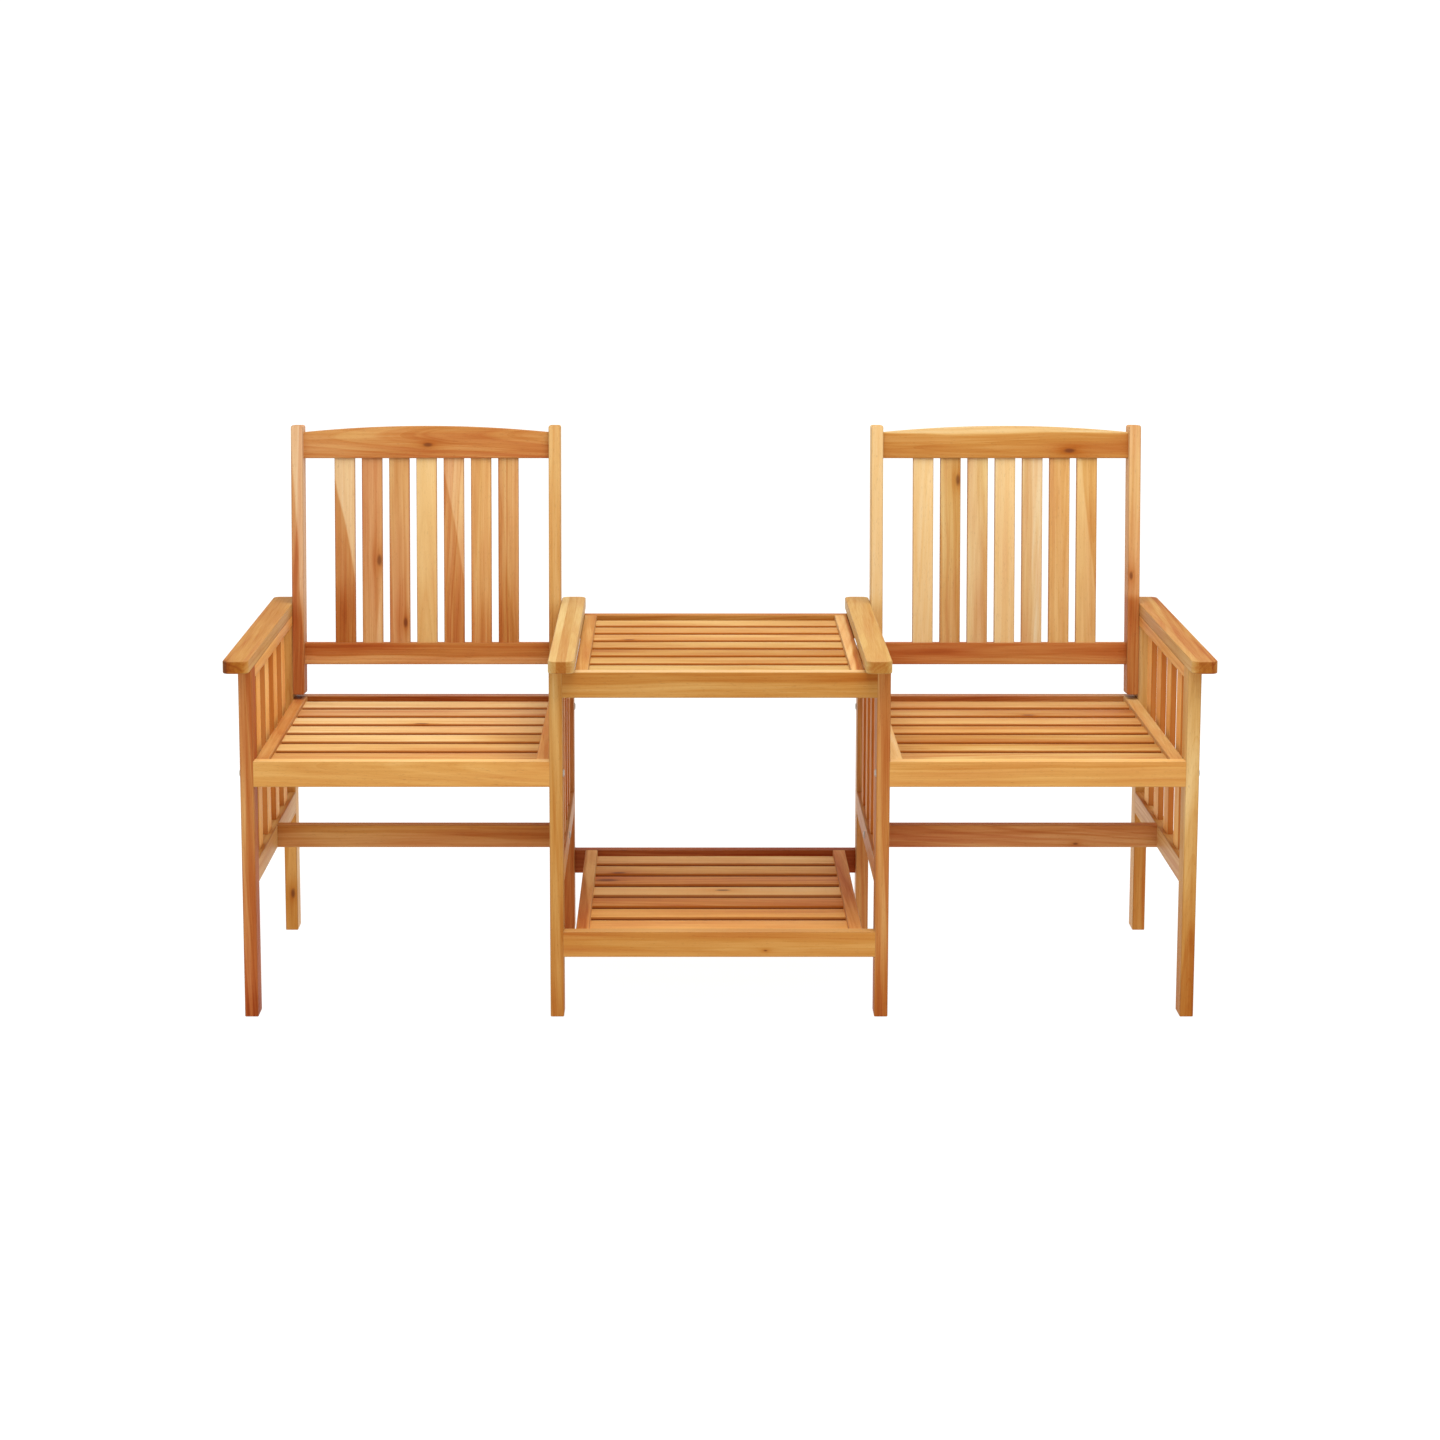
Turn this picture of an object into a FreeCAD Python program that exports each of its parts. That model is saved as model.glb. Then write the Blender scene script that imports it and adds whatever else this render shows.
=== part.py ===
import FreeCAD, Part
import math
import os
from FreeCAD import Vector

os.makedirs("parts", exist_ok=True)

# A companion seat: two slatted chairs joined by a table and a shelf, in acacia boards on four side frames.
# Millimetres. X runs along the bench, its front faces -Y, and Z is up from the floor.

# Layout of the bench
seat_width = 475.0          # clear width of a chair, between its side frames
table_width = 504.0         # clear width between the two inner side frames
frame_depth = 560.0         # front face of the front legs to back face of the rear legs
arm_height = 594.0          # floor to the top of the armrests
seat_height = 424.0         # floor to the top edges of a seat's rails
table_drop = 4.0            # armrests' undersides down to the top edges of the table's rails
shelf_height = 142.0        # floor to the top edges of the shelf's rails
stretcher_height = 253.5    # floor to the top of the stretchers and the lower side rails
stretcher_high = 38.5       # height of the stretchers and the lower side rails themselves

# Side frames
leg_thick = 22.0            # along X, also the thickness of the side rails
leg_deep = 42.0             # along Y
arm_wide = 42.0
arm_thick = 20.0
arm_overhang = 37.0         # past the legs, at the front and at the back
arm_corner = 12.0           # radius of an armrest's corners, seen from above
upper_rail_high = 20.0
side_slat_count = 4
side_slat_wide = 45.0
side_slat_thick = 10.0
side_slat_setback = 7.0     # from the side frame's face towards the seat

# Slatted frames of the seats, the table and the shelf
rail_high = 42.0
rail_thick = 22.0           # also the thickness of the stretchers
slat_count = 7
slat_wide = 52.0
slat_thick = 12.0
slat_recess = 6.0           # slat tops below the rails' top edges
table_inset = 19.0          # from a rail's end to the side member, on the table and the shelf

# Backrests
back_clear = 9.0            # from the seat's top edge up to the posts' feet
back_lean = 5.0             # degrees from upright
post_high = 477.0
post_thick = 21.0
post_deep = 42.0
post_ahead = 14.0           # post's front face ahead of the rear leg's front face, at its foot
post_round = 4.0            # radius at the corners of the posts' ends, seen from the front
back_rail_thick = 20.0
top_rail_crown = 57.0       # height of the top rail at its middle
top_rail_end = 46.0         # height of the top rail at the posts
crown_drop = 1.5            # top of the crown below the posts' tops
low_rail_high = 38.5
low_rail_up = 53.0          # posts' feet to the underside of the lower back rail
back_slat_count = 7
back_slat_wide = 36.0
back_slat_thick = 12.0
back_slat_gap = 12.2

# Edges, tenons and fits
edge_ease = 1.6             # 45 degree cut along the boards' edges
tenon_deep = 10.0
leg_tenon = 12.0            # length of the legs' tenons into the armrests
rail_shoulder = 5.0         # rail or leg face to the face of its tenon
slat_shoulder = 2.5         # slat face to the face of its tenon
twin_gap = 12.0             # between a side member's twin tenons, where the rail's bolt or screw passes
mortise_fit = 0.2           # clearance all round a tenon in its mortise
mortise_spare = 1.0         # empty depth past a tenon's end

# Bolts with barrel nuts, at the seats and stretchers
bolt_dia = 6.0
bolt_long = 62.0            # under the head
head_dia = 13.0
head_high = 2.2
head_dome = ((1.0, 0.6), (0.7, 0.85), (0.25, 1.0))      # shares of the head's height and radius, from its top
key_size = 4.0              # hexagon socket, across its flats
key_deep = 1.6
bolt_taper = 1.0            # cut at the shank's end
hole_fit = 0.25             # clearance all round a fastener in its hole
nut_dia = 10.0
nut_long = 15.0
nut_slot_wide = 1.6         # screwdriver slot in the end of a barrel nut
nut_slot_deep = 1.5
nut_reach = 32.0            # rail's end to the barrel nut's middle

# Button-head screws at the backrests
post_screw_long = 36.0
post_screw_ups = (14.0, 38.0)       # up from the posts' feet, clear of the lower rail's tenon
post_screw_back = 23.0      # back from the posts' front edge at the foot

# Countersunk screws at the table and the shelf
screw_dia = 5.0
screw_long = 55.0
screw_head_dia = 10.0
screw_point = 5.0

# Places worked out from the layout
inner_face = table_width / 2
seat_near = inner_face + leg_thick
seat_far = seat_near + seat_width
outer_face = seat_far + leg_thick
arm_under = arm_height - arm_thick
table_height = arm_under - table_drop
back_foot = seat_height + back_clear
lean = math.radians(back_lean)
post_front = frame_depth - leg_deep - post_ahead
post_reach = post_front + post_high * math.sin(lean) + post_deep * math.cos(lean)
rear_reach = max(frame_depth + arm_overhang, post_reach)
front = (arm_overhang - rear_reach) / 2          # Y of the front legs' front faces
back = front + frame_depth                       # Y of the rear legs' back faces
middle = (front + back) / 2
bolt_front = front + rail_thick / 2              # Y of the bolts in the front rails
bolt_back = back - rail_thick / 2
stretcher_low = stretcher_height - stretcher_high
stretcher_bolt_up = stretcher_height - stretcher_high / 2
seat_bolt_up = seat_height - rail_high / 2
post_foot_y = front + post_front
post_screw_spots = [(post_foot_y + post_screw_back, back_foot + up) for up in post_screw_ups]
table_screw_ups = [table_height - rail_high / 2, shelf_height - rail_high / 2]

pieces = {}


def between(start, length):
    return (start, start + length)


def block(spans):
    """A plain box between three pairs of limits, along X, Y and Z."""
    lows = Vector(*[span[0] for span in spans])
    sizes = [span[1] - span[0] for span in spans]
    return Part.makeBox(*sizes, lows)


def bar(spans, along):
    """A straight board: a rectangle with its corners cut at 45 degrees, carried along one axis."""
    run = "xyz".index(along)
    wide, high = [axis for axis in range(3) if axis != run]
    (w0, w1), (h0, h1) = spans[wide], spans[high]
    cut = edge_ease
    outline = [(w0 + cut, h0), (w1 - cut, h0), (w1, h0 + cut), (w1, h1 - cut),
               (w1 - cut, h1), (w0 + cut, h1), (w0, h1 - cut), (w0, h0 + cut)]
    corners = []
    for w, h in outline + outline[:1]:
        place = [0.0, 0.0, 0.0]
        place[run], place[wide], place[high] = spans[run][0], w, h
        corners.append(Vector(*place))
    push = [0.0, 0.0, 0.0]
    push[run] = spans[run][1] - spans[run][0]
    return Part.Face(Part.makePolygon(corners)).extrude(Vector(*push))


def plank(edges, push):
    """A board cut to an outline: the outline pushed through its thickness, both faces' rims eased."""
    face = Part.Face(Part.Wire(edges))
    solid = face.extrude(push)
    far = face.copy()
    far.translate(push)
    rims = []
    for edge in solid.Edges:
        point = edge.valueAt((edge.FirstParameter + edge.LastParameter) / 2)
        spot = Part.Vertex(point)
        if min(spot.distToShape(face)[0], spot.distToShape(far)[0]) < 1e-4:
            rims.append(edge)
    return solid.makeChamfer(edge_ease, rims)


def round_cornered(wide, high, radius, spot):
    """Outline of a rectangle with four round corners. spot(w, h) gives the point at a place in its plane."""
    skew = radius * (1 - math.sqrt(0.5))
    (w0, w1), (h0, h1) = wide, high
    edges, joins = [], []
    for w, h, sw, sh in ((w0, h0, 1, 1), (w1, h0, -1, 1), (w1, h1, -1, -1), (w0, h1, 1, -1)):
        ends = [spot(w, h + sh * radius), spot(w + sw * radius, h)]
        if sw != sh:
            ends.reverse()
        edges.append(Part.Arc(ends[0], spot(w + sw * skew, h + sh * skew), ends[1]).toShape())
        joins.append(ends)
    for place in range(len(joins)):
        edges.append(Part.makeLine(joins[place - 1][1], joins[place][0]))
    return Part.__sortEdges__(edges)


def stubs(spans, along, end, shoulder, long=tenon_deep, split=0.0):
    """Limits of the tenon on one end of a board, drawn in by the shoulder all round; two if it is split."""
    run = "xyz".index(along)
    limits = [(low + shoulder, high - shoulder) for low, high in spans]
    limits[run] = between(spans[run][1], long) if end > 0 else (spans[run][0] - long, spans[run][0])
    if not split:
        return [limits]
    low, high = limits[2]
    centre = (low + high) / 2
    return [limits[:2] + [(low, centre - split / 2)], limits[:2] + [(centre + split / 2, high)]]


def mortise(tenon, along, end):
    """The hole for a tenon: clear all round it, and a little deeper than it is long."""
    run = "xyz".index(along)
    limits = [(low - mortise_fit, high + mortise_fit) for low, high in tenon]
    low, high = tenon[run]
    limits[run] = (low, high + mortise_spare) if end > 0 else (low - mortise_spare, high)
    return block(limits)


def tenoned(body, spans, along, shoulder, split=0.0):
    """A board with its tenons added at both ends, and the holes that the tenons need."""
    holes = []
    for end in (-1, 1):
        for limits in stubs(spans, along, end, shoulder, split=split):
            body = body.fuse(block(limits))
            holes.append(mortise(limits, along, end))
    return body.removeSplitter(), holes


def bored(body, tools):
    return body.cut(Part.makeCompound(tools)) if tools else body


def rod(start, heading, long, dia):
    return Part.makeCylinder(dia / 2, long, start, heading)


def turned(profile, start, heading):
    """A turned piece: half its outline, as (distance along, radius) pairs, spun and laid on its axis."""
    points = [Vector(radius, 0, along) for along, radius in profile]
    solid = Part.Face(Part.makePolygon(points + points[:1])).revolve(Vector(), Vector(0, 0, 1), 360)
    solid.Placement = FreeCAD.Placement(start, FreeCAD.Rotation(Vector(0, 0, 1), heading))
    return solid


def button_bolt(start, heading, long):
    """A bolt whose head sits on the face at start: a low domed head with a hexagon socket, and a shank."""
    rim, half = head_dia / 2, bolt_dia / 2
    dome = [(-head_high * rise, rim * out) for rise, out in head_dome]
    profile = [(-head_high, 0)] + dome + [(0, rim), (0, half), (long - bolt_taper, half),
                                          (long, half - bolt_taper), (long, 0)]
    corner = key_size / math.sqrt(3)
    turns = [math.radians(60 * side) for side in range(7)]
    hexagon = [Vector(corner * math.cos(turn), corner * math.sin(turn), -head_high) for turn in turns]
    socket = Part.Face(Part.makePolygon(hexagon)).extrude(Vector(0, 0, key_deep))
    socket.Placement = FreeCAD.Placement(start, FreeCAD.Rotation(Vector(0, 0, 1), heading))
    return turned(profile, start, heading).cut(socket)


def barrel_nut(centre):
    """A cylinder lying along Y, with the bolt's cross hole and a slot that turns it into line."""
    low = centre - Vector(0, nut_long / 2, 0)
    nut = rod(low, Vector(0, 1, 0), nut_long, nut_dia)
    hole_dia = bolt_dia + 2 * hole_fit
    hole = rod(centre - Vector(nut_dia, 0, 0), Vector(1, 0, 0), 2 * nut_dia, hole_dia)
    slot = block([(low.x - nut_dia, low.x + nut_dia), between(low.y, nut_slot_deep),
                  between(low.z - nut_slot_wide / 2, nut_slot_wide)])
    return nut.cut(Part.makeCompound([hole, slot]))


def bolt_hole(start, heading, long):
    return rod(start, heading, long, bolt_dia + 2 * hole_fit)


def nut_hole(centre, mouth):
    """The cross hole for a barrel nut, opening at the rail's face whose Y is given."""
    reach = nut_long / 2 + hole_fit
    far = centre.y - reach if mouth > centre.y else centre.y + reach
    heading = Vector(0, 1 if mouth > far else -1, 0)
    return rod(Vector(centre.x, far, centre.z), heading, abs(mouth - far), nut_dia + 2 * hole_fit)


def countersunk_screw(start, heading):
    """A flat-headed wood screw, its head flush with the face at start."""
    half, rim = screw_dia / 2, screw_head_dia / 2
    profile = [(0, 0), (0, rim), (rim - half, half), (screw_long - screw_point, half), (screw_long, 0)]
    return turned(profile, start, heading)


def screw_hole(start, heading, long):
    """A screw's clearance hole with its countersink, which starts at the face."""
    half, rim = screw_dia / 2 + hole_fit, screw_head_dia / 2 + hole_fit
    return turned([(0, 0), (0, rim), (rim - half, half), (long, half), (long, 0)], start, heading)


# Side frames, from left to right. facing is the side of the frame that its seat is on
frames = [("outer_left", -outer_face, 1), ("inner_left", -seat_near, -1),
          ("inner_right", inner_face, 1), ("outer_right", seat_far, -1)]
arm_starts = {"outer_left": -seat_far - arm_wide, "inner_left": -seat_near,
              "inner_right": seat_near - arm_wide, "outer_right": seat_far}
bolts, nuts, post_screws, table_screws = [], [], [], []

for name, x_low, facing in frames:
    x_span = between(x_low, leg_thick)
    seat_face = x_span[1] if facing > 0 else x_span[0]
    far_face = x_span[0] if facing > 0 else x_span[1]
    to_seat = Vector(facing, 0, 0)
    leg_spans = {"front": between(front, leg_deep), "rear": between(back - leg_deep, leg_deep)}
    between_legs = (leg_spans["front"][1], leg_spans["rear"][0])

    # The upper and the lower side rail, tenoned into the legs
    upper_span = [x_span, between_legs, (arm_under - upper_rail_high, arm_under)]
    lower_span = [x_span, between_legs, (stretcher_low, stretcher_height)]
    upper, upper_holes = tenoned(bar(upper_span, "y"), upper_span, "y", rail_shoulder)
    lower, lower_holes = tenoned(bar(lower_span, "y"), lower_span, "y", rail_shoulder)

    # The upright slats between the two rails
    slat_x = seat_face - facing * side_slat_setback
    slat_span = tuple(sorted((slat_x, slat_x - facing * side_slat_thick)))
    room = between_legs[1] - between_legs[0]
    gap = (room - side_slat_count * side_slat_wide) / (side_slat_count + 1)
    side_slats, slat_holes = [], []
    for place in range(side_slat_count):
        y = between_legs[0] + gap + place * (side_slat_wide + gap)
        upright = [slat_span, between(y, side_slat_wide), (lower_span[2][1], upper_span[2][0])]
        slat, holes = tenoned(bar(upright, "z"), upright, "z", slat_shoulder)
        side_slats.append(slat)
        slat_holes += holes
    stretcher_bolt = Vector(far_face, middle, stretcher_bolt_up)
    pieces[name + "_upper_rail"] = [bored(upper, slat_holes)]
    stretcher_hole = bolt_hole(stretcher_bolt, to_seat, leg_thick)
    pieces[name + "_lower_rail"] = [bored(lower, slat_holes + [stretcher_hole])]
    pieces[name + "_side_slats"] = side_slats
    bolts.append(button_bolt(stretcher_bolt, to_seat, bolt_long))
    nuts.append(barrel_nut(stretcher_bolt + to_seat * (leg_thick + nut_reach)))

    # The legs, tenoned up into the armrest and drilled for the seat, the back, the table and the shelf
    arm_holes = []
    for end, bolt_y in (("front", bolt_front), ("rear", bolt_back)):
        leg_span = [x_span, leg_spans[end], (0.0, arm_under)]
        top = stubs(leg_span, "z", 1, rail_shoulder, leg_tenon)[0]
        arm_holes.append(mortise(top, "z", 1))
        seat_bolt = Vector(far_face, bolt_y, seat_bolt_up)
        holes = upper_holes + lower_holes + [bolt_hole(seat_bolt, to_seat, leg_thick)]
        bolts.append(button_bolt(seat_bolt, to_seat, bolt_long))
        nuts.append(barrel_nut(seat_bolt + to_seat * (leg_thick + nut_reach)))
        if end == "rear":
            for y, up in post_screw_spots:
                spot = Vector(far_face, y, up)
                holes.append(bolt_hole(spot, to_seat, leg_thick))
                post_screws.append(button_bolt(spot, to_seat, post_screw_long))
        if name.startswith("inner"):
            for up in table_screw_ups:
                spot = Vector(seat_face, bolt_y, up)
                holes.append(screw_hole(spot, -to_seat, leg_thick))
                table_screws.append(countersunk_screw(spot, -to_seat))
        leg = bar(leg_span, "z").fuse(block(top)).removeSplitter()
        pieces[name + "_" + end + "_leg"] = [bored(leg, holes)]
    arm_x, arm_y = between(arm_starts[name], arm_wide), (front - arm_overhang, back + arm_overhang)
    outline = round_cornered(arm_x, arm_y, arm_corner, lambda x, y: Vector(x, y, arm_under))
    pieces[name + "_armrest"] = [bored(plank(outline, Vector(0, 0, arm_thick)), arm_holes)]


def slatted_frame(name, x_low, x_high, top, inset, rail_holes):
    """A seat, table or shelf: two long rails, two side members tenoned between them, and the slats."""
    height = (top - rail_high, top)
    rail_y = {"front": between(front, rail_thick), "rear": between(back - rail_thick, rail_thick)}
    members = {"left": between(x_low + inset, rail_thick),
               "right": between(x_high - inset - rail_thick, rail_thick)}
    slat_x = (members["left"][1], members["right"][0])
    slat_z = (top - slat_recess - slat_thick, top - slat_recess)
    room = rail_y["rear"][0] - rail_y["front"][1]
    gap = (room - slat_count * slat_wide) / (slat_count + 1)
    slats, slat_holes, member_holes = [], [], []
    for place in range(slat_count):
        y = rail_y["front"][1] + gap + place * (slat_wide + gap)
        slat_span = [slat_x, between(y, slat_wide), slat_z]
        slat, holes = tenoned(bar(slat_span, "x"), slat_span, "x", slat_shoulder)
        slats.append(slat)
        slat_holes += holes
    pieces[name + "_slats"] = slats
    for side, x_span in members.items():
        member_span = [x_span, (rail_y["front"][1], rail_y["rear"][0]), height]
        member, holes = tenoned(bar(member_span, "y"), member_span, "y", rail_shoulder, twin_gap)
        pieces[name + "_" + side + "_member"] = [bored(member, slat_holes)]
        member_holes += holes
    for end, y_span in rail_y.items():
        rail = bar([(x_low, x_high), y_span, height], "x")
        pieces[name + "_" + end + "_rail"] = [bored(rail, member_holes + rail_holes)]


def bolted_ends(x_low, x_high, y, up, mouth):
    """The bolt and barrel nut holes in both ends of a rail that runs from x_low to x_high."""
    holes = []
    for x, inward in ((x_low, 1), (x_high, -1)):
        holes.append(bolt_hole(Vector(x, y, up), Vector(inward, 0, 0), bolt_long - leg_thick + hole_fit))
        holes.append(nut_hole(Vector(x + inward * nut_reach, y, up), mouth))
    return holes


def backrest(name, x_low, x_high):
    """A backrest, made upright and then leant back about its posts' feet."""
    foot_y = post_foot_y
    posts = {"left": between(x_low, post_thick), "right": between(x_high - post_thick, post_thick)}
    rail_x = (posts["left"][1], posts["right"][0])
    rail_y = between(foot_y + (post_deep - back_rail_thick) / 2, back_rail_thick)
    slat_y = between(foot_y + (post_deep - back_slat_thick) / 2, back_slat_thick)
    crown = back_foot + post_high - crown_drop
    top_z = (crown - top_rail_crown, crown - top_rail_crown + top_rail_end)
    low_z = between(back_foot + low_rail_up, low_rail_high)

    slats, slat_holes = [], []
    pitch = back_slat_wide + back_slat_gap
    first = (rail_x[0] + rail_x[1] - back_slat_wide - (back_slat_count - 1) * pitch) / 2
    for place in range(back_slat_count):
        upright = [between(first + place * pitch, back_slat_wide), slat_y, (low_z[1], top_z[0])]
        slat, holes = tenoned(bar(upright, "z"), upright, "z", slat_shoulder)
        slats.append(slat)
        slat_holes += holes

    # The top rail's upper edge is one arc, from post to post over the crown
    low_left, low_right = Vector(rail_x[0], rail_y[0], top_z[0]), Vector(rail_x[1], rail_y[0], top_z[0])
    high_left, high_right = Vector(rail_x[0], rail_y[0], top_z[1]), Vector(rail_x[1], rail_y[0], top_z[1])
    peak = Vector((rail_x[0] + rail_x[1]) / 2, rail_y[0], crown)
    outline = [Part.makeLine(low_left, low_right), Part.makeLine(low_right, high_right),
               Part.Arc(high_right, peak, high_left).toShape(), Part.makeLine(high_left, low_left)]
    top_rail = plank(outline, Vector(0, back_rail_thick, 0))
    top_rail, top_holes = tenoned(top_rail, [rail_x, rail_y, top_z], "x", rail_shoulder)
    low_span = [rail_x, rail_y, low_z]
    low_rail, low_holes = tenoned(bar(low_span, "x"), low_span, "x", rail_shoulder)

    solids = {"slats": slats,
              "top_rail": [bored(top_rail, slat_holes)],
              "lower_rail": [bored(low_rail, slat_holes)]}
    for side, x_span in posts.items():
        post_z = between(back_foot, post_high)
        post = bar([x_span, between(foot_y, post_deep), post_z], "z")
        outline = round_cornered(x_span, post_z, post_round, lambda x, z: Vector(x, foot_y, z))
        ends = Part.Face(Part.Wire(outline)).extrude(Vector(0, post_deep, 0))
        solids[side + "_post"] = [bored(post.common(ends), top_holes + low_holes)]
    pivot = Vector(0, foot_y, back_foot)
    for part, bodies in solids.items():
        pieces[name + "_back_" + part] = [body.rotated(pivot, Vector(1, 0, 0), -back_lean) for body in bodies]

    # The screws go in level, so their holes are drilled once the posts lean
    into_post = post_screw_long - leg_thick + hole_fit
    for side, x, inward in (("left", x_low, 1), ("right", x_high, -1)):
        drills = [bolt_hole(Vector(x, y, up), Vector(inward, 0, 0), into_post) for y, up in post_screw_spots]
        part = name + "_back_" + side + "_post"
        pieces[part] = [bored(pieces[part][0], drills)]


for chair, x_low, x_high in (("left", -seat_far, -seat_near), ("right", seat_near, seat_far)):
    seat_holes = bolted_ends(x_low, x_high, bolt_front, seat_bolt_up, front + rail_thick)
    seat_holes += bolted_ends(x_low, x_high, bolt_back, seat_bolt_up, back - rail_thick)
    slatted_frame(chair + "_seat", x_low, x_high, seat_height, 0.0, seat_holes)
    backrest(chair, x_low, x_high)
    stretcher = bar([(x_low, x_high), (middle - rail_thick / 2, middle + rail_thick / 2),
                     (stretcher_low, stretcher_height)], "x")
    ends = bolted_ends(x_low, x_high, middle, stretcher_bolt_up, middle + rail_thick / 2)
    pieces[chair + "_stretcher"] = [bored(stretcher, ends)]

for (name, top), up in zip((("table", table_height), ("shelf", shelf_height)), table_screw_ups):
    pilots = []
    for y in (bolt_front, bolt_back):
        for x, inward in ((-inner_face, 1), (inner_face, -1)):
            long = screw_long - leg_thick + hole_fit
            pilots.append(rod(Vector(x, y, up), Vector(inward, 0, 0), long, screw_dia + 2 * hole_fit))
    slatted_frame(name, -inner_face, inner_face, top, table_inset, pilots)

pieces["frame_bolts"] = bolts
pieces["barrel_nuts"] = nuts
pieces["backrest_screws"] = post_screws
pieces["table_and_shelf_screws"] = table_screws

for name, solids in pieces.items():
    shape = solids[0] if len(solids) == 1 else Part.makeCompound(solids)
    shape.exportStep("parts/" + name + ".step")
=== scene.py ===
import math

import bpy
import numpy as np
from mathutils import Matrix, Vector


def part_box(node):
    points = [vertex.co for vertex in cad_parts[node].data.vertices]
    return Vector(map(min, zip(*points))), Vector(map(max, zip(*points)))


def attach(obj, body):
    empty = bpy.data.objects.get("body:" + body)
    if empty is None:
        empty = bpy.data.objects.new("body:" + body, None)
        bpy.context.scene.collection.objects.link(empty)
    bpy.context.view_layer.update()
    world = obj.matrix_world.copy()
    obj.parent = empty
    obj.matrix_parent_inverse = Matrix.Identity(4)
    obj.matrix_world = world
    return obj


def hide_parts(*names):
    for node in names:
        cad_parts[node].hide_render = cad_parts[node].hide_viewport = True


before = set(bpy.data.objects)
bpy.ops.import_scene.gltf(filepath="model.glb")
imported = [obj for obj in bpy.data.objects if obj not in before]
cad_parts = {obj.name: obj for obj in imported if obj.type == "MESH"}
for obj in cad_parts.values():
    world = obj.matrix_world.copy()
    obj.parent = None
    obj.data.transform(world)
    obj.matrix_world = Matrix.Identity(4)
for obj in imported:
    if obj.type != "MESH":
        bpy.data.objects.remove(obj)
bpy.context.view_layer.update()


# Legs
# Each side frame stands on two straight acacia legs, 42 by 22 mm. They are planed, their edges are eased by
# machine, and they are tenoned up into the armrest. The whole bench is finished with a thin satin oil.

ease = 0.0016               # radius of the boards' edges
arc_steps = 4               # steps of a quarter turn
leg_tenon = 0.012
rear_leg_painted_light = 1.1       # painted light on the rear legs' sides
draw = np.random.default_rng(23)


def round_outline(wide, high, corner):
    """A board's face as skeleton points and outward normals. Each corner is a quarter turn of the normal
    about a skeleton point that lies one corner radius inside both of its sides."""
    quarter = np.linspace(0, np.pi / 2, arc_steps + 1)
    angle = (np.arange(4)[:, None] * np.pi / 2 + quarter).ravel()
    side = np.repeat([[1, 1], [-1, 1], [-1, -1], [1, -1]], arc_steps + 1, axis=0)
    middle = np.array([sum(wide), sum(high)]) / 2
    reach = np.array([wide[1] - wide[0], high[1] - high[0]]) / 2 - corner
    return middle + side * reach, np.stack([np.cos(angle), np.sin(angle)], axis=1)


def eased_surface(outline, corner, thick, axes):
    """Points and normals on a grid of turn by outline. At turn t, from -90 to 90 degrees, the outline stands
    corner - ease + ease cos t outside its skeleton. Its height is the middle of the thickness, plus or minus
    the half thickness less ease, plus ease sin t. axes are the outline's two, then the thickness axis."""
    skeleton, normals = outline
    quarter = np.linspace(0, np.pi / 2, arc_steps + 1)
    turn = np.concatenate([-quarter[::-1], quarter])[:, None]
    side = np.repeat([-1.0, 1.0], arc_steps + 1)[:, None]
    spread = corner - ease + ease * np.cos(turn)
    shape = (len(turn), len(skeleton))
    points, facing = np.empty(shape + (3,)), np.empty(shape + (3,))
    for place in (0, 1):
        points[..., axes[place]] = skeleton[:, place] + spread * normals[:, place]
        facing[..., axes[place]] = np.cos(turn) * normals[:, place]
    half = (thick[1] - thick[0]) / 2 - ease
    points[..., axes[2]] = sum(thick) / 2 + side * half + ease * np.sin(turn)
    facing[..., axes[2]] = np.sin(turn)
    return points, facing


def grid_faces(rings, around, mirrored):
    """Quads between the rings, each joined to the next point round, with a flat cap at both ends. Where the
    surface is mirrored they are turned over, so that they still face outwards."""
    ring, point = np.meshgrid(np.arange(rings - 1), np.arange(around), indexing="ij")
    after = (point + 1) % around
    corners = [ring * around + point, ring * around + after, (ring + 1) * around + after,
               (ring + 1) * around + point]
    faces = np.stack(corners, axis=-1).reshape(-1, 4).tolist()
    faces += [list(range(around))[::-1], list(range((rings - 1) * around, rings * around))]
    return [face[::-1] for face in faces] if mirrored else faces


def wood(tone, red=0.3, heart=(1.0, 0.0, 0.0), knot=(0.0, 0.0, 1e-5), glue=(1.0, 0.0, 0.0),
         fade=(0.0, 1.0, 0.0), figure=1.0, painted_warmth=0.0):
    """One board's look. tone runs from 0, pale, to 1, dark, and red from 0, golden, to 1, pinkish.
    painted_warmth runs from -1, less warm, on boards under strong top light, to 1, painted warm light bounced
    into boards in shade. figure is the strength of its grain.
    heart is (edge, slope, depth): past the edge the tone changes by depth. knot is (along, across, radius).
    glue is (half width of the middle strip, tone change on the low side, and on the high side).
    fade is (from, to, depth): the tone changes by depth between two places along the board.
    The defaults leave all four out. Two more are drawn: place, the board's part of the tree, and pith as
    (across, through, taper), where the middle of the tree lay, and how fast its rings narrow."""
    place = draw.uniform(-40, 40, 3)
    pith = (draw.uniform(-0.05, 0.05), draw.uniform(0.025, 0.07), draw.uniform(-0.045, 0.045))
    return {"tone": (tone, red, painted_warmth), "figure": (figure, 0.0, 0.0), "heart": heart, "knot": knot,
            "glue": glue, "place": place, "pith": pith, "fade": fade}


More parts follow.
